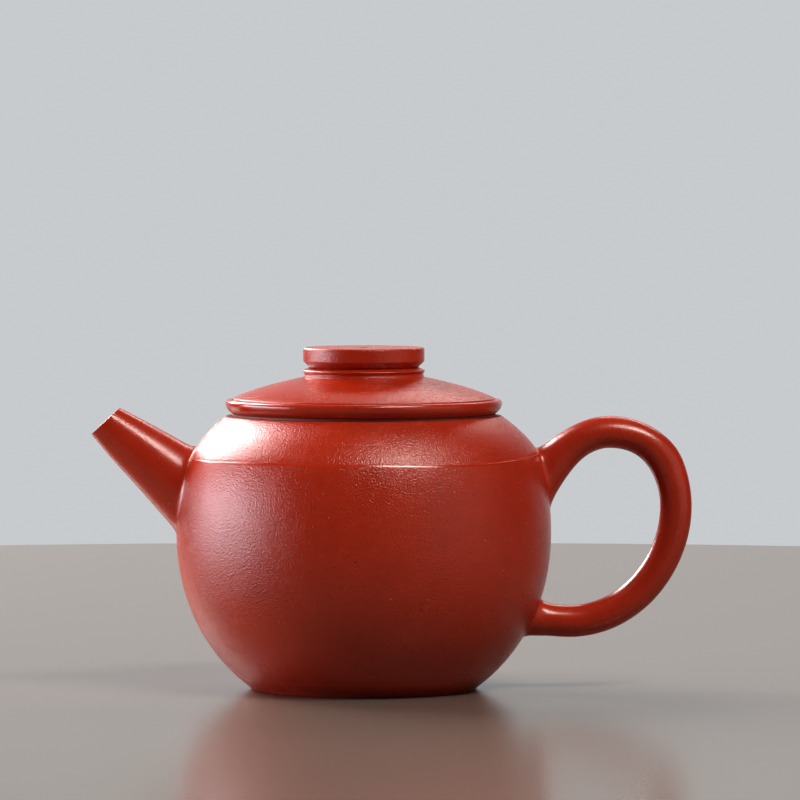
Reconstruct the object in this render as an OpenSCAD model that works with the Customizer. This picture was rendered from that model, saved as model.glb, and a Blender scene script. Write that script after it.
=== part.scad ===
// Round clay teapot with a flat lid, a disc knob, a straight spout and an ear-shaped handle.
// Units are millimetres. +Z is up, +X points to the handle and -X to the spout.
// The origin is the centre of the standing ring, on the surface that the pot stands on.

/* [Belly] */
// Widest radius of the belly
belly_r = 42; // [41:0.5:43]
// Height of the widest line above the table
belly_z = 35.3; // [34.5:0.1:36]
// Fullness of the belly curve: 2 is an ellipse, more is squarer
belly_k = 2.1; // [2.0:0.02:2.2]
// Half height that the lower belly would have if it closed to a point
belly_low = 42.8; // [42:0.1:43.6]
// Half height that the upper belly would have if it closed to a point
belly_up = 43.9; // [43.2:0.1:44.6]
// Thickness of the clay wall
wall = 2.8; // [2.5:0.1:3.1]

/* [Base] */
// Height of the seam between the base disc and the belly
base_h = 3.2; // [3.0:0.1:3.6]
// Outer radius of the flat standing ring
foot_r = 24.8; // [24:0.1:25]
// Inner radius of the flat standing ring
foot_inner_r = 20.4; // [18:0.2:21]
// Depth of the hollow inside the standing ring
foot_hollow = 1; // [0.6:0.1:1.2]
// Width of the blank square pressed into the underside
seal_w = 11; // [9:0.5:13]

/* [Shoulder and mouth] */
// Height of the crisp line between the belly and the shoulder
line_z = 52.2; // [51.8:0.1:52.5]
// Radius of the arc that the shoulder follows
shoulder_arc_r = 27.3; // [26.8:0.1:27.8]
// Slope of the shoulder where it leaves the line, in degrees
line_slope = 60.6; // [59.4:0.2:61.8]
// Height of the flat land that the mouth rim sits on
land_z = 61.2; // [61:0.1:61.4]
// Height of the mouth rim's top, where the lid rests
seat_z = 61.75; // [61.7:0.05:62]
// Radius of the mouth opening
mouth_r = 26.6; // [26.4:0.1:26.8]
// Outer radius of the mouth rim
rim_r = 29.5; // [29.2:0.1:29.6]

/* [Spout] */
// Angle of the spout above the horizontal
spout_rise = 38.4; // [37:0.2:40]
// Distance of the spout's tip from the pot's axis
spout_reach = 57.9; // [56:0.5:59]
// Height of the middle of the spout's tip
spout_tip_z = 60; // [58:0.5:61]
// Outer radius of the spout at its tip
spout_tip_r = 4.25; // [4:0.05:4.5]
// Half angle of the spout's cone
spout_taper = 10.7; // [10:0.1:11]
// Thickness of the spout's lip
spout_lip = 1.6; // [1.4:0.1:1.8]
// Tilt of the cut across the tip, away from a square cut
tip_tilt = 9.3; // [0:0.5:12]

/* [Strainer] */
// Outer radius of the pierced dome
strainer_r = 7.8; // [7.6:0.1:8.2]
// Thickness of the dome
strainer_wall = 1.4; // [1.2:0.1:1.6]
// Diameter of each hole
strainer_hole_d = 1.7; // [1.4:0.1:1.8]

/* [Handle] */
// Radius of the handle's section at the crown
handle_top_r = 3.95; // [3.7:0.05:4.1]
// Radius of the handle's section at its outer bend
handle_bend_r = 3.55; // [3.3:0.05:3.8]
// Radius of the handle's section near the lower root
handle_low_r = 3.6; // [3.4:0.05:3.8]
// Extra radius where the handle is luted to the pot
root_flare = 1.2; // [0.5:0.1:1.5]
// Distance of the handle's outer bend from the pot's axis
handle_reach = 69.9; // [68.4:0.5:71.4]
// Height of the crown of the handle's centre line
handle_crown_z = 57.15; // [56.15:0.5:58.15]

/* [Lid] */
// Radius of the lid over its rounded edge
lid_r = 31; // [30.8:0.1:31.2]
// Height of the groove between the lid's edge and its dome
groove_z = 64.75; // [64.6:0.05:64.9]
// Height of the dome under the knob
dome_z = 69.9; // [69.5:0.1:70.2]
// Outer radius of the collar below the lid
flange_r = 26.3; // [26.1:0.05:26.3]
// Depth of the collar below the mouth rim
flange_depth = 5.6; // [5:0.1:6]

/* [Knob] */
// Radius of the knob's lower ring
neck_r = 13.75; // [13.5:0.05:14]
// Radius of the knob's upper disc
disc_r = 13.6; // [13.5:0.05:13.9]
// Radius at the bottom of the groove between them
waist_r = 12.2; // [11.8:0.1:12.6]
// Height of the bottom of that groove
waist_z = 72.1; // [71.9:0.05:72.3]
// Height of the knob's flat top
top_z = 76.5; // [76:0.1:77]
// Diameter of the air hole
air_d = 1.8; // [1.5:0.1:2]

/* [Hidden] */
$fn = 96;
clay = [0.63, 0.19, 0.11];
lid_clay = [0.66, 0.21, 0.12];

belly_steps = 22;
shoulder_steps = 8;
inner_r = belly_r - wall;
inner_low = belly_low - wall;
// The standing ring's edge: height and swell of its rounding outside, width of the slope inside.
foot_edge_h = 0.9;
foot_swell = 0.8;
ring_slope = 0.7;
// The seal is a square whose corners are rounded by a circle of this share of its width.
seal_depth = 0.3;
seal_round = 0.62;

// The shoulder is an arc that starts on the line with the slope line_slope.
line_r = belly_x(line_z, belly_r, belly_up);
shoulder_step = 0.15;
shoulder_r = line_r - shoulder_step;
shoulder_c = [shoulder_r, line_z] - shoulder_arc_r * [sin(line_slope), cos(line_slope)];
shoulder_in_r = shoulder_arc_r - wall;
line_inner_r = arc_x(line_z, shoulder_c, shoulder_in_r);
// The belly's inner curve is drawn so that it meets the shoulder's inner arc on the line.
inner_up = (line_z - belly_z) / pow(1 - pow(line_inner_r / inner_r, belly_k), 1 / belly_k);

// The spout's axis runs down from its tip; distances along it start at the tip.
spout_len = 30;
spout_root_lip = 3;
tip_over = 3;
tip_cut = 10;

// The strainer's middle lies on that axis. Its holes are one in the middle and two rings.
strainer_at = 24;
strainer_angles = [28, 55];
strainer_counts = [6, 12];

// The mouth rim is an L section: a lining in the mouth and a ring on the land.
lining_r = mouth_r + 1.6;
lining_drop = 2.4;
rim_edge = 0.2;

// The handle's centre line: four curves through its crown, outer bend and lowest point.
upper_root = [36, 41];
crown = [55, handle_crown_z];
bend = [handle_reach, 41];
lowest = [46, 15.15];
lower_root = [34.5, 16.5];
handle_curves = [
    [upper_root, upper_root + [5.5, 9.5], crown - [7, 0], crown],
    [crown, crown + [9.5, 0], bend + [0, 8.5], bend],
    [bend, bend - [0, 13], lowest + [13.8, 0], lowest],
    [lowest, lowest - [3, 0], lower_root + [3, -0.6], lower_root]
];
handle_sides = 20;
handle_rings = 10;
// The flares at the roots, as shares of the handle's length: end of the upper one, start and
// length of the lower one. The lower one is half as strong.
upper_flare_end = 0.17;
lower_flare_start = 0.82;
lower_flare_len = 0.1;

// The lid's parts meet on the seat plane and on the step inside its edge.
step_r = mouth_r + 0.3;
lid_wall = 2.6;
flange_wall = 2.1;
flange_edge = 0.5;
flange_slope = 0.7;
bead_flat_r = 29.4;
bead_edge = [lid_r - 0.05, groove_z - 0.45];
under_flat_r = 4;

// The knob's two pieces: the lip of the lower one, the skirt and the top edge of the upper one.
knob_foot_r = neck_r - 0.25;
lip_z = waist_z - 0.6;
lip_edge = [0.2, 0.3];
skirt_z = waist_z + 1.1;
skirt_edge = [0.25, 0.3];
top_edge = 0.35;
sink_d = 2.8;
sink_depth = 1;

function mix(a, b, t) = a + (b - a) * t;

// Rises smoothly from 0 to 1 while t goes from 0 to 1.
function clip(t) = min(1, max(0, t));
function ease(t) = clip(t) * clip(t) * (3 - 2 * clip(t));

function backwards(list) = [for (i = [len(list) - 1 : -1 : 0]) list[i]];

// Points of an arc about c from angle a to angle b.
function arc(c, r, a, b, n) =
    [for (i = [0 : n]) c + r * [cos(mix(a, b, i / n)), sin(mix(a, b, i / n))]];

// Distance from the axis of an arc about c at height z, and its angle there.
function arc_x(z, c, r) = c[0] + sqrt(r * r - (z - c[1]) * (z - c[1]));
function arc_angle(z, c, r) = asin((z - c[1]) / r);

// A point of the cubic curve with the four control points p, and n + 1 points along it.
function curve_at(p, t) =
    pow(1 - t, 3) * p[0] + 3 * pow(1 - t, 2) * t * p[1] + 3 * (1 - t) * t * t * p[2] + pow(t, 3) * p[3];
function curve(p, n) = [for (i = [0 : n]) curve_at(p, i / n)];

// The belly is a squared ellipse of radius r and half height b about its widest line.
function belly_x(z, r, b) = r * pow(1 - pow(abs(z - belly_z) / b, belly_k), 1 / belly_k);
function belly_angle(z, low, up) =
    let (d = z - belly_z)
        sign(d) * asin(pow(abs(d) / (d < 0 ? low : up), belly_k / 2));
function belly_point(r, low, up, a) = [
    r * pow(cos(a), 2 / belly_k),
    belly_z + sign(a) * (a < 0 ? low : up) * pow(sin(abs(a)), 2 / belly_k)
];
function belly(r, low, up, z0, z1, n) = [
    for (i = [0 : n])
        belly_point(r, low, up, mix(belly_angle(z0, low, up), belly_angle(z1, low, up), i / n))
];

outer_belly = belly(belly_r, belly_low, belly_up, base_h, line_z, belly_steps);
inner_belly = belly(inner_r, inner_low, inner_up, base_h, line_z, belly_steps);
outer_shoulder = arc(shoulder_c, shoulder_arc_r, arc_angle(line_z, shoulder_c, shoulder_arc_r),
                     arc_angle(land_z, shoulder_c, shoulder_arc_r), shoulder_steps);
lining_z = shoulder_c[1] + sqrt(pow(shoulder_in_r, 2) - pow(lining_r - shoulder_c[0], 2));
inner_shoulder = arc(shoulder_c, shoulder_in_r, arc_angle(line_z, shoulder_c, shoulder_in_r),
                     arc_angle(lining_z, shoulder_c, shoulder_in_r), shoulder_steps);
base_edge = concat(
    curve([[foot_r, 0], [foot_r + 0.7 * foot_swell, 0], [foot_r + foot_swell, 0.7 * foot_edge_h],
           [belly_x(foot_edge_h, belly_r, belly_low), foot_edge_h]], 5),
    belly(belly_r, belly_low, belly_up, (foot_edge_h + base_h) / 2, base_h, 1)
);

// The whole outer form of the pot without its hollow, used to trim the spout and the handle.
module pot_form() {
    rotate_extrude()
        polygon(concat([[0, 0]], base_edge, outer_belly, outer_shoulder, [[0, land_z]]));
}

// The space inside the pot, used to trim the strainer.
module pot_hollow() {
    rotate_extrude()
        polygon(concat([[0, base_h]], inner_belly, inner_shoulder, [[0, lining_z]]));
}

// Places a shape along the spout: z runs down the axis from the tip, into the pot.
module along_spout() {
    translate([-spout_reach, 0, spout_tip_z])
        rotate([0, 90 + spout_rise, 0])
            children();
}

// The cone of the spout's bore, from outside the tip to inside the pot.
module spout_bore() {
    tip_bore_r = spout_tip_r - spout_lip;
    root_bore_r = spout_tip_r + spout_len * tan(spout_taper) - spout_root_lip;
    growth = (root_bore_r - tip_bore_r) / spout_len;
    along_spout()
        translate([0, 0, -tip_over])
            cylinder(h = spout_len + tip_over, r1 = tip_bore_r - growth * tip_over, r2 = root_bore_r);
}

module base_disc() {
    color(clay)
        difference() {
            rotate_extrude()
                polygon(concat([[0, foot_hollow], [foot_inner_r - ring_slope, foot_hollow],
                                [foot_inner_r, 0]], base_edge, [[0, base_h]]));
            intersection() {
                translate([-seal_w / 2, -seal_w / 2, 0])
                    cube([seal_w, seal_w, foot_hollow + seal_depth]);
                cylinder(h = foot_hollow + seal_depth, r = seal_round * seal_w);
            }
        }
}

module body_wall() {
    color(clay)
        difference() {
            rotate_extrude()
                polygon(concat(outer_belly, backwards(inner_belly)));
            spout_bore();
        }
}

module shoulder() {
    color(clay)
        rotate_extrude()
            polygon(concat(outer_shoulder, [[lining_r, land_z]], backwards(inner_shoulder)));
}

module mouth_rim() {
    color(clay)
        rotate_extrude()
            polygon([
                [mouth_r, land_z - lining_drop], [lining_r, land_z - lining_drop],
                [lining_r, land_z], [rim_r, land_z], [rim_r, seat_z - rim_edge],
                [rim_r - rim_edge, seat_z], [mouth_r + rim_edge, seat_z], [mouth_r, seat_z - rim_edge]
            ]);
}

module spout() {
    color(clay)
        difference() {
            along_spout()
                translate([0, 0, -tip_over])
                    cylinder(h = spout_len + tip_over, r1 = spout_tip_r - tip_over * tan(spout_taper),
                             r2 = spout_tip_r + spout_len * tan(spout_taper));
            along_spout()
                rotate([0, tip_tilt, 0])
                    translate([-tip_cut, -tip_cut, -tip_cut])
                        cube([2 * tip_cut, 2 * tip_cut, tip_cut]);
            spout_bore();
            pot_form();
        }
}

// Places one strainer hole on the dome, at an angle from its middle and a turn about it.
module strainer_hole(angle, turn) {
    rotate([turn, 0, 0])
        rotate([0, 90 - angle, 0])
            translate([0, 0, strainer_r - strainer_wall - 1])
                cylinder(h = strainer_wall + 2, d = strainer_hole_d);
}

module strainer() {
    middle = [strainer_at * cos(spout_rise) - spout_reach, 0, spout_tip_z - strainer_at * sin(spout_rise)];
    color(clay)
        difference() {
            intersection() {
                translate(middle)
                    sphere(r = strainer_r);
                pot_hollow();
            }
            translate(middle)
                sphere(r = strainer_r - strainer_wall);
            translate(middle) {
                strainer_hole(0, 0);
                for (ring = [0, 1], i = [1 : strainer_counts[ring]])
                    strainer_hole(strainer_angles[ring], 360 * (i + ring / 2) / strainer_counts[ring]);
            }
        }
}

// Radius of the handle's section at s, from 0 at the upper root to 1 at the lower root.
function handle_radius(s) =
    handle_top_r + (handle_bend_r - handle_top_r) * ease(4 * s - 1)
    + (handle_low_r - handle_bend_r) * ease(4 * s - 2)
    + root_flare * pow(clip(1 - s / upper_flare_end), 2)
    + root_flare / 2 * pow(clip((s - lower_flare_start) / lower_flare_len), 2);

// One ring of the handle about the point p of its centre line, square to the direction d.
function handle_ring(p, d, r) = [
    for (i = [0 : handle_sides - 1])
        let (a = 360 * i / handle_sides, out = r * cos(a), side = r * sin(a), l = norm(d))
            [p[0] - out * d[1] / l, side, p[1] + out * d[0] / l]
];

module handle() {
    count = 4 * handle_rings;
    path = [
        for (c = [0 : 3], i = [0 : handle_rings - 1]) curve_at(handle_curves[c], i / handle_rings),
        lower_root
    ];
    points = [
        for (k = [0 : count])
            let (d = path[min(k + 1, count)] - path[max(k - 1, 0)])
                each handle_ring(path[k], d, handle_radius(k / count))
    ];
    sides = [
        for (k = [0 : count - 1], i = [0 : handle_sides - 1])
            let (a = k * handle_sides + i, b = k * handle_sides + (i + 1) % handle_sides)
                each [[a, b, b + handle_sides], [a, b + handle_sides, a + handle_sides]]
    ];
    first = [for (i = [handle_sides - 1 : -1 : 0]) i];
    last = [for (i = [0 : handle_sides - 1]) count * handle_sides + i];
    color(clay)
        difference() {
            polyhedron(points, concat([first], sides, [last]), convexity = 6);
            pot_form();
        }
}

module lid_plate() {
    edge = [bead_flat_r, groove_z + 0.4];
    crest = [knob_foot_r, dome_z];
    roof = [under_flat_r, dome_z - lid_wall];
    skirt = [flange_r - flange_wall, seat_z];
    dome = curve([edge, edge + [-4.5, 2.1], crest + [6, -1.3], crest], 10);
    under = curve([roof, roof + [8, 0], [skirt[0] - 1.5, roof[1] - 1.6], skirt], 8);
    color(lid_clay)
        difference() {
            rotate_extrude()
                polygon(concat([[0, roof[1]]], under, [[step_r, seat_z]],
                               [[step_r, groove_z], [bead_flat_r, groove_z]], dome, [[0, dome_z]]));
            cylinder(h = top_z, d = air_d);
        }
}

module lid_bead() {
    side = curve([[bead_flat_r, seat_z], [bead_flat_r + 1.2, seat_z + 0.5],
                  bead_edge + [0.25, -0.55], bead_edge], 6);
    top = curve([bead_edge, bead_edge + [-0.15, 0.6], [bead_flat_r + 0.8, groove_z + 0.35],
                 [bead_flat_r, groove_z]], 6);
    color(lid_clay)
        rotate_extrude()
            polygon(concat([[step_r, groove_z], [step_r, seat_z]], side, top));
}

module lid_flange() {
    bottom = seat_z - flange_depth;
    inner = flange_r - flange_wall;
    color(lid_clay)
        rotate_extrude()
            polygon([[inner, seat_z], [inner, bottom + flange_edge], [inner + flange_edge, bottom],
                     [flange_r - flange_edge, bottom], [flange_r, bottom + flange_slope],
                     [flange_r, seat_z]]);
}

module knob_neck() {
    color(lid_clay)
        difference() {
            rotate_extrude()
                polygon([[0, dome_z], [knob_foot_r, dome_z], [neck_r, lip_z - lip_edge[1]],
                         [neck_r - lip_edge[0], lip_z], [waist_r, waist_z], [0, waist_z]]);
            cylinder(h = top_z, d = air_d);
        }
}

module knob_disc() {
    color(lid_clay)
        difference() {
            rotate_extrude()
                polygon(concat([[0, waist_z], [waist_r, waist_z], [disc_r - skirt_edge[0], skirt_z],
                                [disc_r, skirt_z + skirt_edge[1]]],
                               arc([disc_r - top_edge, top_z - top_edge], top_edge, 0, 90, 4),
                               [[0, top_z]]));
            cylinder(h = top_z + 1, d = air_d);
            translate([0, 0, top_z - sink_depth])
                cylinder(h = 1.2 * sink_depth, d1 = air_d, d2 = sink_d);
        }
}

base_disc();
body_wall();
shoulder();
mouth_rim();
spout();
strainer();
handle();
lid_plate();
lid_bead();
lid_flange();
knob_neck();
knob_disc();
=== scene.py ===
import math

import bpy
import numpy as np
from mathutils import Matrix, Vector


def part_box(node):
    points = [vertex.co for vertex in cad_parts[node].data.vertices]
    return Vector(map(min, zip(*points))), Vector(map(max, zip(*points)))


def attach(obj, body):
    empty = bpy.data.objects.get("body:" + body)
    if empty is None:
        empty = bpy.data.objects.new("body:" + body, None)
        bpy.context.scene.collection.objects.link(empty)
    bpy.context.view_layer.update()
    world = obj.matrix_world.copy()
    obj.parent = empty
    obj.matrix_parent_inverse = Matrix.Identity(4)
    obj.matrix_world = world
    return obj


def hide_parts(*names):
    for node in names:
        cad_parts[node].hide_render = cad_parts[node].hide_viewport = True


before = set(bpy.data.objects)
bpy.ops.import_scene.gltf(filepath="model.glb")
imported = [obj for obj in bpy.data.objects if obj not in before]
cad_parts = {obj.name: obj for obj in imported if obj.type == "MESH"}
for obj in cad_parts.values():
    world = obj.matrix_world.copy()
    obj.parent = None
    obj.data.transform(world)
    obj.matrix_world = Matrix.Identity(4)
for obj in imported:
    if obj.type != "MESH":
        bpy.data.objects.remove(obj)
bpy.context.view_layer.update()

# ---------------------------------------------------------------- sizes, in metres
MM = 0.001
TURNS = 320                     # columns round a turned piece
FINE = 0.06 * MM                # spacing of the points that an outline is worn with
FLAT = 0.0015 * MM              # how far an outline may run off its points once thinned
LONGEST = 1.2 * MM              # the longest straight run left in a thinned outline
SHARP = math.radians(32)        # faces that meet at more than this keep a crisp edge


def top(part):
    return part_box(part)[1].z


def reach(part):
    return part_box(part)[1].x


# Pot: the belly is a squared ellipse about its widest line, the shoulder an arc above the line
BELLY_R = reach("body_wall")
BELLY_Z = 35.3 * MM
BELLY_K = 2.1                   # power of the squared ellipse
BELLY_LOW = 42.8 * MM           # its half height below the widest line
BELLY_UP = 43.9 * MM            # its half height above it
WALL = 2.8 * MM
SEAM_Z = top("base_disc")
FOOT_R = 24.8 * MM
FOOT_IN_R = 20.4 * MM
FOOT_HOLLOW = 1.0 * MM
FOOT_EDGE_Z = 0.9 * MM
SEAL_W = 11 * MM
SEAL_DEPTH = 0.3 * MM
SEAL_ROUND = 0.62               # radius of the circle that cuts the corners, as a share of the width
SEAL_POINTS = 48                # points of the recess's outline
LINE_Z = top("body_wall")
LINE_STEP = 0.15 * MM           # the shoulder starts this far inside the wall's edge
LINE_DIP = 0.04 * MM            # the shoulder's foot is tooled in a little above the line
LINE_DIP_HEIGHT = 0.25 * MM
LINE_BAND = 0.45 * MM           # height of the burnished band that the tool leaves below the line
LINE_LEAN = 0.25                # how much more than the wall the band leans inwards
BAND_UP = 0.43                  # the band's faces, and no others below it, point up more than this
SHOULDER_R = 27.3 * MM
LINE_SLOPE = math.radians(60.6) # of the shoulder at the line, from level
LAND_Z = top("shoulder")
SEAT_Z = top("mouth_rim")
RIM_R = reach("mouth_rim")
MOUTH_R = 26.6 * MM
LINING = 1.6 * MM

# Spout: a cone whose axis starts in the middle of the tip
SPOUT_RISE = math.radians(38.4)
SPOUT_TIP = np.array([-57.9, 0, 60]) * MM
SPOUT_TIP_R = 4.25 * MM
SPOUT_TAPER = math.radians(10.7)
SPOUT_LIP = 1.6 * MM
TIP_SOFT = 0.05 * MM            # how far back from the tip the lip's rounding starts
SPOUT_BORE_R = SPOUT_TIP_R - SPOUT_LIP
SPOUT_BORE_GROWTH = 0.142       # how much the bore's radius grows per length
BORE_ROOM = 0.5 * MM            # the hole in the wall is this much wider than the bore that lines it
BORE_SIDES = 48
ROOT_MM = (10, 34)              # the spout passes through the wall between these millimetres from its tip
TIP_TILT = math.radians(9.3)
SPOUT_AXIS = np.array([math.cos(SPOUT_RISE), 0, -math.sin(SPOUT_RISE)])
SPOUT_UP = np.array([math.sin(SPOUT_RISE), 0, math.cos(SPOUT_RISE)])

# Handle: four cubic curves in the plane y = 0
HANDLE_TOP_R = 3.95 * MM
HANDLE_BEND_R = 3.55 * MM
HANDLE_LOW_R = 3.6 * MM
HANDLE_FLARE = 1.2 * MM         # added to its radius where its middle line starts, inside the pot
HANDLE_FLARE_RUN = 0.17         # share of the middle line's points over which that fades out
HANDLE_FOOT_START = 0.82        # share at which the lower end starts to thicken, half as much
HANDLE_FOOT_RUN = 0.1           # share over which it does

# Lid and knob
LID_R = reach("lid_bead")
GROOVE_Z = 64.75 * MM
DOME_Z = top("lid_plate")
BEAD_FLAT_R = 29.4 * MM
STEP_R = MOUTH_R + 0.3 * MM
LID_WALL = 2.6 * MM
FLANGE_R = reach("lid_flange")
FLANGE_WALL = 2.1 * MM
TURN_GAP = 0.03 * MM            # keeps the flange clear of the plate that turns over it
NECK_R = reach("knob_neck")
DISC_R = reach("knob_disc")
WAIST_R = 12.2 * MM
WAIST_Z = top("knob_neck")
TOP_Z = top("knob_disc")
AIR_R = 0.9 * MM
AIR_SINK_R = 1.4 * MM


# ---------------------------------------------------------------- curves
def curve(points, n):
    """n + 1 points along the cubic curve with four control points."""
    p = np.array(points, float)
    t = np.linspace(0, 1, n + 1)[:, None]
    u = 1 - t
    return u ** 3 * p[0] + 3 * u ** 2 * t * p[1] + 3 * u * t * t * p[2] + t ** 3 * p[3]


def arc(centre, radius, a, b, n):
    """n + 1 points of an arc from angle a to angle b."""
    t = np.linspace(a, b, n + 1)
    return np.stack([centre[0] + radius * np.cos(t), centre[1] + radius * np.sin(t)], 1)


def even(points, step):
    """The same polyline with evenly spaced points about step apart."""
    p = np.asarray(points, float)
    run = np.r_[0, np.cumsum(np.linalg.norm(np.diff(p, axis=0), axis=1))]
    at = np.linspace(0, run[-1], max(3, int(math.ceil(run[-1] / step)) + 1))
    return np.stack([np.interp(at, run, p[:, k]) for k in range(p.shape[1])], 1)


def thin(points, gap, longest):
    """Drops the points that a straight run passes within gap of, and keeps runs under longest."""
    keep, start = [0], 0
    last = len(points) - 1
    while start < last:
        far = start + 1
        while far < last:
            chord = points[far + 1] - points[start]
            length = np.linalg.norm(chord)
            between = points[start + 1:far + 1] - points[start]
            off = np.abs(between[:, 0] * chord[1] - between[:, 1] * chord[0]) / max(length, 1e-12)
            if off.max() > gap or length > longest:
                break
            far += 1
        keep.append(far)
        start = far
    return points[keep]


def worn(stretches, softness):
    """Joins stretches of outline and rounds the corners inside each one, as handling and firing do.

    The corners between two stretches stay sharp, because a neighbouring piece meets them there."""
    out = []
    for stretch in stretches:
        p = even(stretch, FINE)
        half = max(1, int(3 * softness / FINE))
        weight = np.exp(-0.5 * (np.arange(-half, half + 1) * FINE / softness) ** 2)
        weight /= weight.sum()
        ends = np.vstack([2 * p[0] - p[half:0:-1], p, 2 * p[-1] - p[-2:-half - 2:-1]])
        if len(p) > half + 1:
            p = np.stack([np.convolve(ends[:, k], weight, "valid") for k in range(2)], 1)
        out.append(thin(p, FLAT, LONGEST)[:-1])
    out.append(np.array([stretches[-1][-1]], float))
    return np.vstack(out)


# ---------------------------------------------------------------- the pot's form
def belly_x(z, radius, low, up):
    d = np.asarray(z, float) - BELLY_Z
    share = np.abs(d) / np.where(d < 0, low, up)
    return radius * (1 - np.clip(share, 0, 1) ** BELLY_K) ** (1 / BELLY_K)


LINE_R = float(belly_x(LINE_Z, BELLY_R, BELLY_LOW, BELLY_UP))
SHOULDER_C = np.array([LINE_R - LINE_STEP, LINE_Z])
SHOULDER_C = SHOULDER_C - SHOULDER_R * np.array([math.sin(LINE_SLOPE), math.cos(LINE_SLOPE)])
INNER_LINE_R = SHOULDER_C[0] + math.sqrt((SHOULDER_R - WALL) ** 2 - (LINE_Z - SHOULDER_C[1]) ** 2)
INNER_UP = (LINE_Z - BELLY_Z) / (1 - (INNER_LINE_R / (BELLY_R - WALL)) ** BELLY_K) ** (1 / BELLY_K)


def outer_r(z):
    """Radius of the pot's outside at height z."""
    z = np.asarray(z, float)
    over = np.clip(z - SHOULDER_C[1], 0, SHOULDER_R)
    shoulder = SHOULDER_C[0] + np.sqrt(SHOULDER_R ** 2 - over ** 2)
    return np.where(z > LINE_Z, shoulder, belly_x(z, BELLY_R, BELLY_LOW, BELLY_UP))


def inner_r(z):
    """Radius of the pot's inside at height z."""
    z = np.asarray(z, float)
    over = np.clip(z - SHOULDER_C[1], 0, SHOULDER_R - WALL)
    shoulder = SHOULDER_C[0] + np.sqrt((SHOULDER_R - WALL) ** 2 - over ** 2)
    return np.where(z > LINE_Z, shoulder, belly_x(z, BELLY_R - WALL, BELLY_LOW - WALL, INNER_UP))


def wall_line(radius_of, z0, z1, n=160):
    """n points of the pot's outside or inside between two heights."""
    z = np.linspace(z0, z1, n)
    return np.stack([radius_of(z), z], 1)


def outward(points):
    """Unit normals of the pot's outside near the given points."""
    r = np.hypot(points[:, 0], points[:, 1])
    dz = 0.05 * MM
    slope = (outer_r(points[:, 2] + dz) - outer_r(points[:, 2] - dz)) / (2 * dz)
    n = np.stack([points[:, 0] / r, points[:, 1] / r, -slope], 1)
    return n / np.linalg.norm(n, axis=1)[:, None]


def onto_pot(points):
    """Moves points along the pot's normal until they lie on its outside."""
    p = points.copy()
    for _ in range(6):
        n = outward(p)
        gap = (np.hypot(p[:, 0], p[:, 1]) - outer_r(p[:, 2])) * np.hypot(n[:, 0], n[:, 1])
        p = p - n * gap[:, None]
    return p


def bell(x, middle, width):
    return np.exp(-((x - middle) / width) ** 2)


def settled(co):
    """The slight unevenness of hand-built clay, the same at one place for every piece there.

    The shoulder line rises to the handle and sinks a little on the way there and near the spout."""
    x, y, z = co[:, 0] / MM, co[:, 1] / MM, co[:, 2] / MM
    r = np.hypot(x, y) + 1e-9
    turn = np.degrees(np.arctan2(np.abs(y), x))
    lift = 0.8 * bell(turn, 0, 24) - 0.35 * bell(turn, 55, 18) + 0.12 * bell(turn, 100, 25)
    lift = (lift - 0.35 * bell(turn, 180, 28)) * bell(z, LINE_Z / MM, 5) * np.clip((r - 30) / 6, 0, 1)
    swell = (np.sin(x / 9.1 + 0.7) * np.cos(y / 11.3 + 1.9) + 0.6 * np.sin(z / 6.7 + x / 17.0)
             + 0.35 * np.cos((x - y) / 5.3 + z / 4.1))
    push = -0.022 * (swell + 1.95) * MM * np.clip(r / 10, 0, 1) ** 2
    out = co.copy()
    out[:, 0] += push * x / r
    out[:, 1] += push * y / r
    out[:, 2] += lift * MM
    return out


# ---------------------------------------------------------------- meshes
def mesh_piece(name, co, faces, body, replaced, materials):
    """A piece from points and faces. It rides on a body and stands in for the CAD node replaced."""
    mesh = bpy.data.meshes.new(name)
    mesh.from_pydata(settled(np.asarray(co)).tolist(), [], faces)
    mesh.update()
    mesh.shade_smooth()
    mesh.set_sharp_from_angle(angle=SHARP)
    piece = bpy.data.objects.new(name, mesh)
    bpy.context.scene.collection.objects.link(piece)
    for m in materials:
        mesh.materials.append(m)
    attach(piece, body)
    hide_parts(replaced)
    return piece


def lathe(name, outline, body, replaced, materials):
    """Turns a closed outline of (r, z) points about the Z axis. Its points run anticlockwise."""
    p = np.asarray(outline, float)
    if np.linalg.norm(p[0] - p[-1]) < 1e-9:
        p = p[:-1]
    a = np.arange(TURNS) * 2 * math.pi / TURNS
    co, rings = [], []
    for r, z in p:
        if r < 1e-7:
            rings.append([len(co)] * TURNS)
            co.append((0.0, 0.0, z))
        else:
            rings.append(list(range(len(co), len(co) + TURNS)))
            co.extend(zip(r * np.cos(a), r * np.sin(a), np.full(TURNS, z)))
    faces = []
    for k in range(len(rings)):
        one, two = rings[k], rings[(k + 1) % len(rings)]
        if one[0] == one[1] and two[0] == two[1]:
            continue
        for i in range(TURNS):
            j = (i + 1) % TURNS
            face = [one[i], one[j], two[j], two[i]]
            faces.append(list(dict.fromkeys(face)))
    return mesh_piece(name, co, faces, body, replaced, materials)


def tube(name, rings, body, replaced, materials, caps):
    """Joins rings of points into a tube, closed by end caps or by joining its last ring to its first."""
    count, sides = len(rings), len(rings[0])
    co = np.vstack(rings)
    faces = []
    for k in range(count if not caps else count - 1):
        one, two = k * sides, ((k + 1) % count) * sides
        for i in range(sides):
            j = (i + 1) % sides
            faces.append([one + j, one + i, two + i, two + j])
    if caps:
        for ring, turn in ((0, 1), (count - 1, -1)):
            centre = len(co)
            co = np.vstack([co, rings[ring].mean(0)])
            for i in range(sides):
                j = (i + 1) % sides
                pair = (ring * sides + i, ring * sides + j)
                faces.append([*(pair if turn > 0 else pair[::-1]), centre])
    return mesh_piece(name, co, faces, body, replaced, materials)


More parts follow.
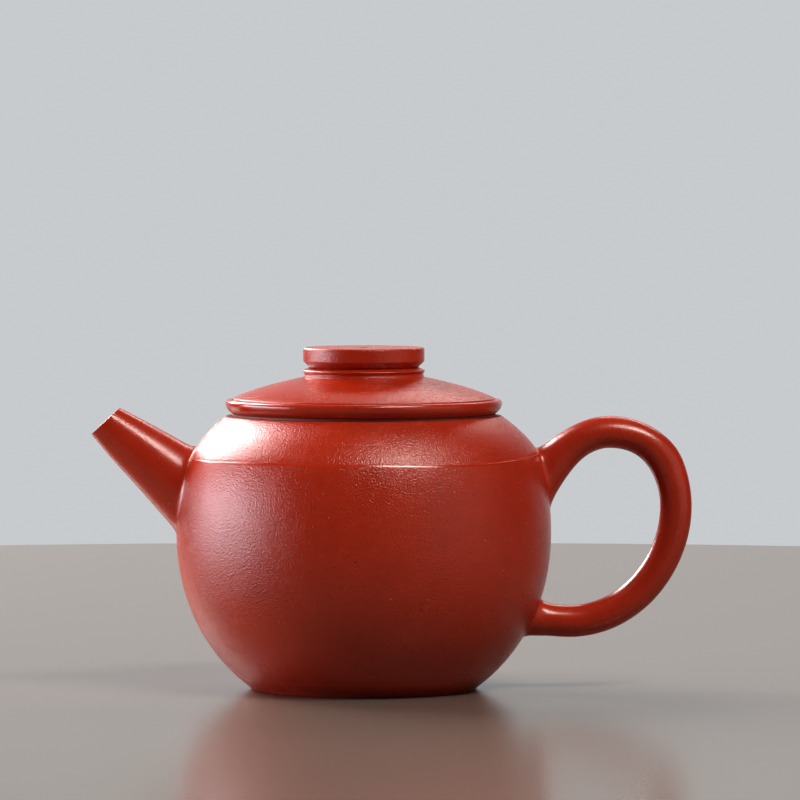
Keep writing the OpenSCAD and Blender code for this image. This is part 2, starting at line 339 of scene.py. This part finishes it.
def cut(piece, cutter_name, form):
    """Takes a closed form out of a piece for good."""
    co, faces = form
    mesh = bpy.data.meshes.new(cutter_name)
    mesh.from_pydata([tuple(c) for c in co], [], faces)
    mesh.update()
    cutter = bpy.data.objects.new(cutter_name, mesh)
    bpy.context.scene.collection.objects.link(cutter)
    boolean = piece.modifiers.new("cut", "BOOLEAN")
    boolean.operation = "DIFFERENCE"
    boolean.solver = "EXACT"
    boolean.object = cutter
    bpy.context.view_layer.update()
    depsgraph = bpy.context.evaluated_depsgraph_get()
    done = bpy.data.meshes.new_from_object(piece.evaluated_get(depsgraph))
    piece.modifiers.remove(boolean)
    piece.data = done
    bpy.data.objects.remove(cutter)
    done.shade_smooth()
    done.set_sharp_from_angle(angle=SHARP)


# ---------------------------------------------------------------- clay
def node(tree, kind, inputs=None, **settings):
    """A shader node whose inputs are either values or the sockets that feed them."""
    made = tree.nodes.new("ShaderNode" + kind)
    for key, value in settings.items():
        setattr(made, key, value)
    for key, value in (inputs or {}).items():
        if isinstance(value, bpy.types.NodeSocket):
            tree.links.new(value, made.inputs[key])
        else:
            made.inputs[key].default_value = value
    return made


def mixed(tree, factor, one, two):
    """Mixes two colours."""
    made = tree.nodes.new("ShaderNodeMix")
    made.data_type = "RGBA"
    for socket, value in ((made.inputs[0], factor), (made.inputs[6], one), (made.inputs[7], two)):
        if isinstance(value, bpy.types.NodeSocket):
            tree.links.new(value, socket)
        else:
            socket.default_value = value
    return made.outputs[2]


def ranged(tree, value, low, high, out_low, out_high):
    """Maps low to high onto out_low to out_high, and no further."""
    made = node(tree, "MapRange", {0: value, 1: low, 2: high, 3: out_low, 4: out_high}, clamp=True)
    return made.outputs[0]


def clay(name, deep, light, pebble, gloss, streaks=0.0, specks=1.0):
    """Fired red clay: mottled, with small specks, a pebbled or wiped skin, rubbed edges and painted shade
    in its hollows.
    """
    material = bpy.data.materials.new(name)
    material.use_nodes = True
    tree = material.node_tree
    tree.nodes.clear()
    place = node(tree, "TexCoord").outputs["Object"]

    def noise(scale, detail=2.0, rough=0.5, at=place):
        inputs = {"Vector": at, "Scale": scale, "Detail": detail, "Roughness": rough}
        return node(tree, "TexNoise", inputs).outputs["Fac"]

    def sums(operation, one, two):
        return node(tree, "Math", {0: one, 1: two}, operation=operation).outputs[0]

    def spots(scale, rarity, size, strength, channel):
        """Round specks in the few cells of a pattern whose own value is above rarity."""
        cells = node(tree, "TexVoronoi", {"Vector": place, "Scale": scale, "Randomness": 1.0})
        value = node(tree, "SeparateColor", {0: cells.outputs["Color"]}).outputs[channel]
        chosen = ranged(tree, value, rarity, rarity + 0.01, 0, 1)
        inside = ranged(tree, cells.outputs["Distance"], size, 2 * size, 1, 0)
        return sums("MULTIPLY", sums("MULTIPLY", chosen, inside), strength * specks)

    def bump(height, depth, under=None):
        inputs = {"Strength": 1.0, "Distance": depth, "Height": height}
        if under:
            inputs["Normal"] = under
        return node(tree, "Bump", inputs).outputs["Normal"]

    def shade(colour, share):
        return (*[min(1, c * share) for c in colour], 1)

    # Colour: broad and fine mottling, then dark iron specks and pale sand specks.
    colour = mixed(tree, ranged(tree, noise(38, 3), 0.3, 0.7, 0, 1), (*deep, 1), (*light, 1))
    cloud = ranged(tree, noise(420, 4, 0.6), 0.3, 0.72, 0, 0.22)
    colour = mixed(tree, cloud, colour, shade(deep, 0.72))
    grain = ranged(tree, noise(2600, 2, 0.6), 0.35, 0.75, 0, 0.16)
    colour = mixed(tree, grain, colour, shade(light, 1.45))
    iron = spots(620.0, 0.93, 0.1, 0.75, 0)
    colour = mixed(tree, iron, colour, (0.055, 0.012, 0.008, 1))
    colour = mixed(tree, spots(900.0, 0.965, 0.08, 0.8, 1), colour, (0.75, 0.42, 0.25, 1))

    # Edges are rubbed a little lighter and glossier, and hollows are darkened with painted shade.
    point = node(tree, "NewGeometry").outputs["Pointiness"]
    colour = mixed(tree, ranged(tree, point, 0.515, 0.6, 0, 0.3), colour, shade(light, 1.5))
    # painted shade: concave places, found by pointiness, are darkened
    colour = mixed(tree, ranged(tree, point, 0.49, 0.42, 0, 0.6), colour, shade(deep, 0.6))
    rough = ranged(tree, noise(150, 3), 0.3, 0.7, gloss - 0.045, gloss + 0.05)
    rough = sums("SUBTRACT", rough, ranged(tree, point, 0.515, 0.6, 0, 0.06))
    rough = sums("ADD", rough, ranged(tree, iron, 0, 1, 0, 0.15))

    # The skin: soft pebbles a third of a millimetre across over finer grain, and wiped rings.
    cells = {"Vector": place, "Scale": 2700.0, "Smoothness": 1.0, "Randomness": 1.0}
    soft = node(tree, "TexVoronoi", cells, feature="SMOOTH_F1").outputs["Distance"]
    normal = bump(sums("ADD", soft, noise(3600, 2, 0.55)), pebble * MM)
    normal = bump(noise(260, 2), 0.01 * MM, normal)
    if streaks:
        stretch = node(tree, "Mapping", {"Vector": place, "Scale": (60, 60, 3200)}).outputs["Vector"]
        normal = bump(noise(1.0, 3, 0.6, at=stretch), streaks * MM, normal)

    shader = node(tree, "BsdfPrincipled", {"Base Color": colour, "Roughness": rough, "Normal": normal})
    shader.inputs["IOR"].default_value = 1.5
    shader.inputs["Specular IOR Level"].default_value = 0.75
    out = node(tree, "OutputMaterial")
    tree.links.new(shader.outputs[0], out.inputs["Surface"])
    return material


RED_DEEP, RED_LIGHT = (0.42, 0.028, 0.006), (0.53, 0.042, 0.010)
# The raw clay is the unburnished inside. Its darker colour is also painted shade on the land and rim
# under the lid's bead and in the air hole.
RAW_AND_SHADE_DEEP, RAW_AND_SHADE_LIGHT = (0.24, 0.028, 0.012), (0.32, 0.045, 0.020)
pot_clay = clay("pot_clay", RED_DEEP, RED_LIGHT, pebble=0.08, gloss=0.24)
lid_clay = clay("lid_clay", RED_DEEP, RED_LIGHT, pebble=0.065, gloss=0.24, streaks=0.012)
smooth_clay = clay("smooth_clay", RED_DEEP, RED_LIGHT, pebble=0.02, gloss=0.25, specks=0.6)
burnished_clay = clay("burnished_clay", RED_DEEP, RED_LIGHT, pebble=0.02, gloss=0.175, specks=0.6)
raw_clay_and_painted_shade = clay("raw_clay_and_painted_shade", RAW_AND_SHADE_DEEP, RAW_AND_SHADE_LIGHT, pebble=0.05, gloss=0.6, streaks=0.06)


# ---------------------------------------------------------------- pot
def give_faces(piece, chosen, index=1):
    """Gives the faces for which chosen(centre, normal) holds another of the piece's materials."""
    for face in piece.data.polygons:
        if chosen(face.center, face.normal):
            face.material_index = index


def prism(rings):
    """Points and faces of a closed form through rings with the same number of points."""
    count, last = len(rings[0]), len(rings) - 1
    faces = [list(range(count - 1, -1, -1)), list(range(last * count, (last + 1) * count))]
    for k in range(0, last * count, count):
        for i in range(count):
            j = (i + 1) % count
            faces.append([k + i, k + j, k + count + j, k + count + i])
    return np.vstack(rings), faces


def seal_outline(grow):
    """Outline of the square seal's recess, whose corners are cut by a circle."""
    a = (np.arange(SEAL_POINTS) + 0.5) * 2 * math.pi / SEAL_POINTS
    square = SEAL_W / 2 / np.maximum(np.abs(np.cos(a)), np.abs(np.sin(a)))
    r = grow * np.minimum(square, SEAL_ROUND * SEAL_W)
    return np.column_stack([r * np.cos(a), r * np.sin(a)])


def along_spout(d, radius, sides):
    """A ring about the spout's axis, at the distance d from the middle of the tip."""
    a = np.arange(sides) * 2 * math.pi / sides
    away = np.cos(a)[:, None] * SPOUT_UP + np.sin(a)[:, None] * np.array([0, 1.0, 0])
    return SPOUT_TIP + SPOUT_AXIS * np.reshape(d, (-1, 1)) + away * np.reshape(radius, (-1, 1))


def make_base():
    foot = curve([(FOOT_R, 0), (FOOT_R + 0.55 * MM, 0), (FOOT_R + 0.8 * MM, 0.6 * MM),
                  (float(outer_r(FOOT_EDGE_Z)), FOOT_EDGE_Z)], 12)
    edge = wall_line(outer_r, FOOT_EDGE_Z, SEAM_Z, 30)
    under = [(0, FOOT_HOLLOW), (FOOT_IN_R - 0.7 * MM, FOOT_HOLLOW), (FOOT_IN_R, 0), (FOOT_R, 0)]
    seam_in = (float(inner_r(SEAM_Z)), SEAM_Z)
    outside = np.vstack([under, foot[1:], edge[1:]])
    outline = worn([outside, [edge[-1], seam_in], [seam_in, (0, SEAM_Z)]], 0.16 * MM)
    piece = lathe("base_disc_clay", outline, "pot", "base_disc", [pot_clay, raw_clay_and_painted_shade])
    depth = FOOT_HOLLOW + SEAL_DEPTH
    levels = ((-MM, 1.06), (depth, 0.98), (depth, 0.93), (depth, 0.8), (depth, 0.4))
    rings = [np.column_stack([seal_outline(grow), np.full(SEAL_POINTS, z)]) for z, grow in levels]
    cut(piece, "seal", prism(rings))
    give_faces(piece, lambda c, n: abs(n.z) > 0.9 and FOOT_HOLLOW / 2 < c.z)
    return piece


def make_wall():
    outside = wall_line(outer_r, SEAM_Z, LINE_Z - LINE_BAND, 200)
    inside = wall_line(inner_r, LINE_Z, SEAM_Z, 200)
    edge, ledge = (LINE_R - LINE_LEAN * LINE_BAND, LINE_Z), (LINE_R - 0.6 * MM, LINE_Z)
    outside = np.vstack([outside, [edge, ledge]])
    outline = worn([outside, [ledge, inside[0]], inside, [inside[-1], outside[0]]], 0.07 * MM)
    clays = [pot_clay, raw_clay_and_painted_shade, burnished_clay]
    piece = lathe("body_wall_clay", outline, "pot", "body_wall", clays)
    hole_r = SPOUT_BORE_R + BORE_ROOM
    depths = [d * MM for d in ROOT_MM]
    ends = [along_spout(d, hole_r + d * SPOUT_BORE_GROWTH, BORE_SIDES) for d in depths]
    cut(piece, "bore", prism(ends))
    give_faces(piece, lambda c, n: c.x * n.x + c.y * n.y < 0)
    give_faces(piece, lambda c, n: n.z > BAND_UP and c.z > BELLY_Z and c.x * n.x + c.y * n.y > 0, 2)
    return piece


def make_shoulder():
    over = math.asin((LAND_Z - SHOULDER_C[1]) / SHOULDER_R)
    start = math.asin((LINE_Z - SHOULDER_C[1]) / SHOULDER_R)
    outside = arc(SHOULDER_C, SHOULDER_R, start, over, 120)
    outside[:, 0] -= LINE_DIP * np.exp((LINE_Z - outside[:, 1]) / LINE_DIP_HEIGHT)
    lining_r = MOUTH_R + LINING
    in_over = math.acos((lining_r - SHOULDER_C[0]) / (SHOULDER_R - WALL))
    in_start = math.asin((LINE_Z - SHOULDER_C[1]) / (SHOULDER_R - WALL))
    inside = arc(SHOULDER_C, SHOULDER_R - WALL, in_over, in_start, 80)
    land = (lining_r, LAND_Z)
    outside = np.vstack([outside, [land]])
    outline = worn([outside, [land, inside[0]], inside, [inside[-1], outside[0]]], 0.15 * MM)
    piece = lathe("shoulder_clay", outline, "pot", "shoulder", [pot_clay, raw_clay_and_painted_shade])
    # The inside is raw clay. The level land under the lid's bead takes the same darker clay as painted
    # shade in the gap.
    give_faces(piece, lambda c, n: c.x * n.x + c.y * n.y < 0 or n.z > 0.95)
    return piece


def make_rim():
    lining_r = MOUTH_R + LINING
    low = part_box("mouth_rim")[0].z
    points = [(MOUTH_R, SEAT_Z), (MOUTH_R, low), (lining_r, low), (lining_r, LAND_Z - 0.3 * MM),
              (RIM_R, LAND_Z - 0.3 * MM), (RIM_R, SEAT_Z), (MOUTH_R, SEAT_Z)]
    start = [((MOUTH_R + RIM_R) / 2, SEAT_Z)]
    outline = worn([np.vstack([start, points[:-1], start])], 0.12 * MM)
    piece = lathe("mouth_rim_clay", outline, "pot", "mouth_rim", [pot_clay, raw_clay_and_painted_shade])
    # The rim's outer faces, in the gap under the lid's bead, take the darker raw clay as painted shade.
    give_faces(piece, lambda c, n: c.x * n.x + c.y * n.y > 0)
    return piece


def crossing(points_at, distances):
    """For each side, the first distance at which its line leaves the pot's form."""
    before = None
    found = np.full(len(points_at(distances[0])), np.nan)
    for k, d in enumerate(distances):
        p = points_at(d)
        gap = np.hypot(p[:, 0], p[:, 1]) - outer_r(p[:, 2])
        if before is not None:
            hit = np.isnan(found) & (before <= 0) & (gap > 0)
            share = -before / np.where(gap - before == 0, 1, gap - before)
            found = np.where(hit, distances[k - 1] + share * (d - distances[k - 1]), found)
        before = gap
    return np.where(np.isnan(found), distances[-1], found)


def root_rings(line_at, start, way, tube_leg, pot_leg, away, n=9):
    """Rings of a soft luted fillet, from under the pot's skin, over the joint and onto the tube.

    line_at gives each side's point at a distance along the tube, start the distance at which it leaves
    the pot, way is 1 if the distance grows outwards, and away is each side's direction from the tube."""
    joint = line_at(start)
    on_tube = line_at(start + way * tube_leg)
    n_pot = outward(joint)
    along = away - n_pot * np.sum(away * n_pot, 1)[:, None]
    along /= np.linalg.norm(along, axis=1)[:, None]
    on_pot = onto_pot(joint + along * pot_leg[:, None])
    under = on_pot - outward(on_pot) * 0.5 * MM + along * 0.1 * MM
    t = np.linspace(0, 1, n)[:, None, None]
    bend = (1 - t) ** 2 * on_pot + 2 * (1 - t) * t * joint + t * t * on_tube
    return [under, *bend[:-1]]


def make_spout():
    sides = 144
    a = np.arange(sides) * 2 * math.pi / sides
    away = np.cos(a)[:, None] * SPOUT_UP + np.sin(a)[:, None] * np.array([0, 1.0, 0])
    lean = away @ (SPOUT_AXIS * math.cos(TIP_TILT) - SPOUT_UP * math.sin(TIP_TILT))
    flare = math.tan(SPOUT_TAPER)

    def outer(d):
        return along_spout(d, SPOUT_TIP_R + d * flare, sides)

    def bore(d):
        return along_spout(d, SPOUT_BORE_R + d * SPOUT_BORE_GROWTH, sides)

    def tip_distance(growth, radius):
        """The distance at which each side's line meets the slanted cut of the tip."""
        return -(lean * radius) / (math.cos(TIP_TILT) + lean * growth)

    # From under the pot's skin over the fillet to the tip, round the lip and down the bore.
    outside = crossing(outer, np.linspace(40, 5, 500) * MM)
    tube_leg = 1.7 * MM + 0.8 * MM * np.clip(np.cos(a), 0, 1)
    rings = root_rings(outer, outside, -1, tube_leg, np.full(sides, 0.9 * MM), away)
    tip = tip_distance(flare, SPOUT_TIP_R)
    first, last = outside - tube_leg, tip + TIP_SOFT
    rings += [outer(first + (last - first) * share) for share in np.linspace(0, 1, 40)[:-1]]
    bore_tip = tip_distance(SPOUT_BORE_GROWTH, SPOUT_BORE_R)
    lip_out, lip_in = outer(tip), bore(bore_tip)
    across = lip_in - lip_out
    for share in np.linspace(0, 1, 6)[:-1]:
        rings.append((1 - share) ** 2 * outer(last) + 2 * (1 - share) * share * lip_out
                     + share ** 2 * (lip_out + across * 0.03))
    bore_start = bore_tip + 0.6 * MM
    for share in np.linspace(0, 1, 6)[:-1]:
        rings.append((1 - share) ** 2 * (lip_out + across * 0.7) + 2 * (1 - share) * share * lip_in
                     + share ** 2 * bore(bore_start))
    ends = np.zeros(sides)
    for d in np.linspace(*ROOT_MM, 400) * MM:
        p = bore(np.full(sides, d))
        ends = np.where(np.hypot(p[:, 0], p[:, 1]) > inner_r(p[:, 2]) + 0.05 * MM, d, ends)
    rings += [bore(bore_start + (ends - bore_start) * share) for share in np.linspace(0, 1, 30)]
    rings.append(rings[-1] + away * 0.9 * MM)
    return tube("spout_clay", rings[::-1], "pot", "spout", [smooth_clay], caps=False)


def eased(t):
    """Goes from 0 to 1 with a soft start and a soft end."""
    t = np.clip(t, 0, 1)
    return t * t * (3 - 2 * t)


def handle_path():
    """Points of the handle's middle line and its radius at each of them."""
    start, crown = np.array([36, 41]) * MM, np.array([55 * MM, top("handle") - HANDLE_TOP_R])
    bend, lowest = np.array([reach("handle") - HANDLE_BEND_R, 41 * MM]), np.array([46, 15.15]) * MM
    end = np.array([34.5, 16.5]) * MM
    right, up = np.array([MM, 0]), np.array([0, MM])
    parts = [
        [start, start + 5.5 * right + 9.5 * up, crown - 7 * right, crown],
        [crown, crown + 9.5 * right, bend + 8.5 * up, bend],
        [bend, bend - 13 * up, lowest + 13.8 * right, lowest],
        [lowest, lowest - 3 * right, end + 3 * right - 0.6 * up, end],
    ]
    line = np.vstack([curve(p, 80)[:-1] for p in parts] + [[end]])
    s = np.linspace(0, 1, len(line))
    radius = HANDLE_TOP_R + (HANDLE_BEND_R - HANDLE_TOP_R) * eased(4 * s - 1)
    radius = radius + (HANDLE_LOW_R - HANDLE_BEND_R) * eased(4 * s - 2)
    radius = radius + HANDLE_FLARE * np.clip(1 - s / HANDLE_FLARE_RUN, 0, 1) ** 2
    foot = np.clip((s - HANDLE_FOOT_START) / HANDLE_FOOT_RUN, 0, 1) ** 2
    radius = radius + HANDLE_FLARE / 2 * foot
    return line, radius


def make_handle():
    sides = 72
    line, radius = handle_path()
    run = np.r_[0, np.cumsum(np.linalg.norm(np.diff(line, axis=0), axis=1))]
    ahead = np.gradient(line, run, axis=0)
    ahead /= np.linalg.norm(ahead, axis=1)[:, None]
    a = np.arange(sides) * 2 * math.pi / sides
    tracks = (line[:, 0], line[:, 1], ahead[:, 0], ahead[:, 1], radius)

    def line_at(d):
        px, pz, dx, dz, r = (np.interp(np.broadcast_to(d, (sides,)), run, v) for v in tracks)
        out = r * np.cos(a)
        return np.stack([px - out * dz, r * np.sin(a), pz + out * dx], 1)

    def away_at(d):
        dx, dz = (np.interp(np.broadcast_to(d, (sides,)), run, v) for v in tracks[2:4])
        return np.stack([-np.cos(a) * dz, np.sin(a), np.cos(a) * dx], 1)

    total = run[-1]
    high = crossing(line_at, np.linspace(0, 25, 500) * MM)
    low = crossing(line_at, total - np.linspace(0, 15, 400) * MM)
    outside, inside = np.clip(np.cos(a), 0, 1), np.clip(-np.cos(a), 0, 1)
    high_leg = (1.8 + 3.0 * outside + 1.6 * inside) * MM
    low_leg = (1.4 + 1.2 * outside + 1.4 * inside) * MM
    first = root_rings(line_at, high, 1, high_leg, np.full(sides, 1.1 * MM), away_at(high))
    last = root_rings(line_at, low, -1, low_leg, np.full(sides, 0.9 * MM), away_at(low))
    begin, finish = high + high_leg, low - low_leg
    middle = [line_at(begin + (finish - begin) * share) for share in np.linspace(0, 1, 260)]
    rings = first + middle + last[::-1]
    return tube("handle_clay", rings, "pot", "handle", [smooth_clay], caps=True)


# ---------------------------------------------------------------- lid
def make_plate():
    dome = curve([(BEAD_FLAT_R, GROOVE_Z + 0.4 * MM), (BEAD_FLAT_R - 4.5 * MM, GROOVE_Z + 2.5 * MM),
                  (NECK_R + 5.75 * MM, DOME_Z - 1.3 * MM), (NECK_R - 0.25 * MM, DOME_Z)], 80)
    inner = FLANGE_R - FLANGE_WALL
    roof = DOME_Z - LID_WALL
    under = curve([(4 * MM, roof), (12 * MM, roof), (inner - 1.5 * MM, roof - 1.6 * MM),
                   (inner, SEAT_Z)], 60)
    hole_low, hole_high = (AIR_R, roof), (AIR_R, DOME_Z)
    step_low, step_high, flat = (STEP_R, SEAT_Z), (STEP_R, GROOVE_Z), (BEAD_FLAT_R, GROOVE_Z)
    outline = worn([[hole_high, hole_low], np.vstack([[hole_low], under]), [under[-1], step_low],
                    [step_low, step_high], [step_high, flat], np.vstack([[flat], dome]),
                    [dome[-1], hole_high]], 0.14 * MM)
    piece = lathe("lid_plate_clay", outline, "lid", "lid_plate", [lid_clay, raw_clay_and_painted_shade])
    give_faces(piece, lambda c, n: n.z < 0 and c.z > SEAT_Z and math.hypot(c.x, c.y) < STEP_R - 0.2 * MM)
    return piece


def make_bead():
    widest, flat = (LID_R - 0.05 * MM, GROOVE_Z - 0.45 * MM), (BEAD_FLAT_R, GROOVE_Z)
    step_low, step_high = (STEP_R, SEAT_Z), (STEP_R, GROOVE_Z)
    side = curve([(BEAD_FLAT_R, SEAT_Z), (LID_R - 0.4 * MM, SEAT_Z + 0.5 * MM),
                  (LID_R + 0.2 * MM, GROOVE_Z - MM), widest], 40)
    over = curve([widest, (LID_R - 0.2 * MM, GROOVE_Z + 0.15 * MM),
                  (LID_R - 0.8 * MM, GROOVE_Z + 0.35 * MM), flat], 40)
    outside = np.vstack([[step_low], side, over[1:]])
    outline = worn([outside, [flat, step_high], [step_high, step_low]], 0.12 * MM)
    return lathe("lid_bead_clay", outline, "lid", "lid_bead", [burnished_clay])


def make_flange():
    low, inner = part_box("lid_flange")[0].z, FLANGE_R - FLANGE_WALL
    high = SEAT_Z - TURN_GAP
    skirt = [(inner, high), (inner, low + 0.5 * MM), (inner + 0.5 * MM, low), (FLANGE_R - 0.5 * MM, low),
             (FLANGE_R, low + 0.7 * MM), (FLANGE_R, high)]
    outline = worn([skirt, [skirt[-1], skirt[0]]], 0.2 * MM)
    return lathe("lid_flange_clay", outline, "lid_collar", "lid_flange", [lid_clay])


def make_neck():
    foot = NECK_R - 0.25 * MM
    lip = WAIST_Z - 0.6 * MM
    side = curve([(foot, DOME_Z), (foot + 0.05 * MM, DOME_Z + 0.5 * MM),
                  (foot - 0.55 * MM, DOME_Z + 0.5 * MM), (NECK_R, lip - 0.25 * MM)], 20)
    outline = worn([[(AIR_R, WAIST_Z), (AIR_R, DOME_Z)], [(AIR_R, DOME_Z), (foot, DOME_Z)],
                    np.vstack([side, [(NECK_R - 0.2 * MM, lip), (WAIST_R, WAIST_Z)]]),
                    [(WAIST_R, WAIST_Z), (AIR_R, WAIST_Z)]], 0.1 * MM)
    return lathe("knob_neck_clay", outline, "lid", "knob_neck", [lid_clay])


def make_disc():
    skirt = WAIST_Z + 1.1 * MM
    waist, sink = (WAIST_R, WAIST_Z), (AIR_SINK_R, TOP_Z)
    side = [waist, (DISC_R - 0.25 * MM, skirt), (DISC_R, skirt + 0.3 * MM), (DISC_R, TOP_Z - 0.3 * MM),
            (DISC_R - 0.3 * MM, TOP_Z), sink]
    hole = [sink, (AIR_R, TOP_Z - MM), (AIR_R, WAIST_Z)]
    outline = worn([[(AIR_R, WAIST_Z), waist], side, hole], 0.1 * MM)
    piece = lathe("knob_disc_clay", outline, "lid", "knob_disc", [lid_clay, raw_clay_and_painted_shade])
    # The air hole is lined with unburnished raw clay, whose darker colour also paints shade into the
    # hole.
    give_faces(piece, lambda c, n: math.hypot(c.x, c.y) < AIR_SINK_R and c.z < TOP_Z - 0.02 * MM)
    return piece


make_base()
make_wall()
make_shoulder()
make_rim()
make_spout()
make_handle()
make_plate()
make_bead()
make_flange()
make_neck()
make_disc()
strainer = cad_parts["strainer"]
strainer.data.materials.clear()
strainer.data.materials.append(smooth_clay)


# ---------------------------------------------------------------- studio
def plain(name, colour, roughness, ior):
    material = bpy.data.materials.new(name)
    material.use_nodes = True
    shader = material.node_tree.nodes["Principled BSDF"]
    shader.inputs["Base Color"].default_value = (*colour, 1)
    shader.inputs["Roughness"].default_value = roughness
    shader.inputs["IOR"].default_value = ior
    return material


def make_floor():
    """A plain round floor with a soft sheen."""
    bpy.ops.mesh.primitive_circle_add(vertices=128, radius=0.5, fill_type="NGON", location=(0, 0, 0))
    floor = bpy.context.object
    floor.name = "floor"
    floor.data.materials.append(plain("floor_pale", (0.21, 0.175, 0.147), 0.2, 1.3))


def area_light(name, towards, along, distance, size, radiance, colour):
    """A soft light in the direction towards, whose long side lies along the given vector."""
    data = bpy.data.lights.new(name, "AREA")
    data.shape = "RECTANGLE"
    data.size, data.size_y = size
    data.energy = radiance * math.pi * size[0] * size[1]
    data.color = colour
    lamp = bpy.data.objects.new(name, data)
    bpy.context.scene.collection.objects.link(lamp)
    out = Vector(towards).normalized()
    side = Vector(along)
    side = (side - out * side.dot(out)).normalized()
    lamp.matrix_world = Matrix((side, out.cross(side), out)).transposed().to_4x4()
    lamp.location = out * distance + Vector((0, 0, 0.045))
    lamp.visible_camera = False


def make_lights():
    """Two windows on the left, a warm lamp above the front, a weak fill at the right, a lamp behind."""
    white, cool, warm = (1.0, 1.0, 1.0), (0.88, 0.91, 1.0), (1.0, 0.96, 0.92)
    area_light("window_back_left", (-0.56, 0.61, 0.52), (-0.19, -0.6, 0.5), 1.3, (1.1, 0.5), 12, white)
    area_light("window_left", (-0.985, 0.06, 0.13), (0, 1, 0), 1.5, (1.5, 0.5), 8, cool)
    area_light("lamp_front", (0.38, -0.48, 0.81), (1, 0.5, 0), 1.3, (0.64, 0.28), 18.5, (1.0, 0.93, 0.86))
    area_light("fill_right", (0.85, -0.5, 0.2), (0, 0, 1), 1.5, (1.2, 1.6), 0.45, (1.0, 0.92, 0.84))
    area_light("lamp_back", (0.22, 0.76, 0.62), (1, 0, 0), 1.5, (0.8, 0.28), 4.2, warm)


def make_world():
    """A pale wall behind the teapot and a dim room in front of it."""
    world = bpy.data.worlds.new("studio")
    bpy.context.scene.world = world
    world.use_nodes = True
    tree = world.node_tree
    back = tree.nodes["Background"]
    back.inputs[0].default_value = (0.80, 0.82, 0.84, 1)
    way = node(tree, "SeparateXYZ", {0: node(tree, "TexCoord").outputs["Generated"]}).outputs[1]
    tree.links.new(ranged(tree, way, 0.7, 0.96, 0.06, 0.66), back.inputs[1])


def make_camera():
    """A long lens a metre and a half in front of the teapot, looking a little down on it."""
    aim = Vector((8.1, 0, 64.7)) * MM
    stand = Vector((8.1, -1500, 131)) * MM
    data = bpy.data.cameras.new("camera")
    data.lens = 302
    data.sensor_width = 36
    data.clip_start, data.clip_end = 0.05, 20
    camera = bpy.data.objects.new("camera", data)
    bpy.context.scene.collection.objects.link(camera)
    camera.location = stand
    camera.rotation_euler = (aim - stand).to_track_quat("-Z", "Y").to_euler()
    bpy.context.scene.camera = camera


make_floor()
make_lights()
make_world()
make_camera()
look = bpy.context.scene.view_settings
look.view_transform = "Standard"
look.exposure, look.gamma = 0.26, 0.83
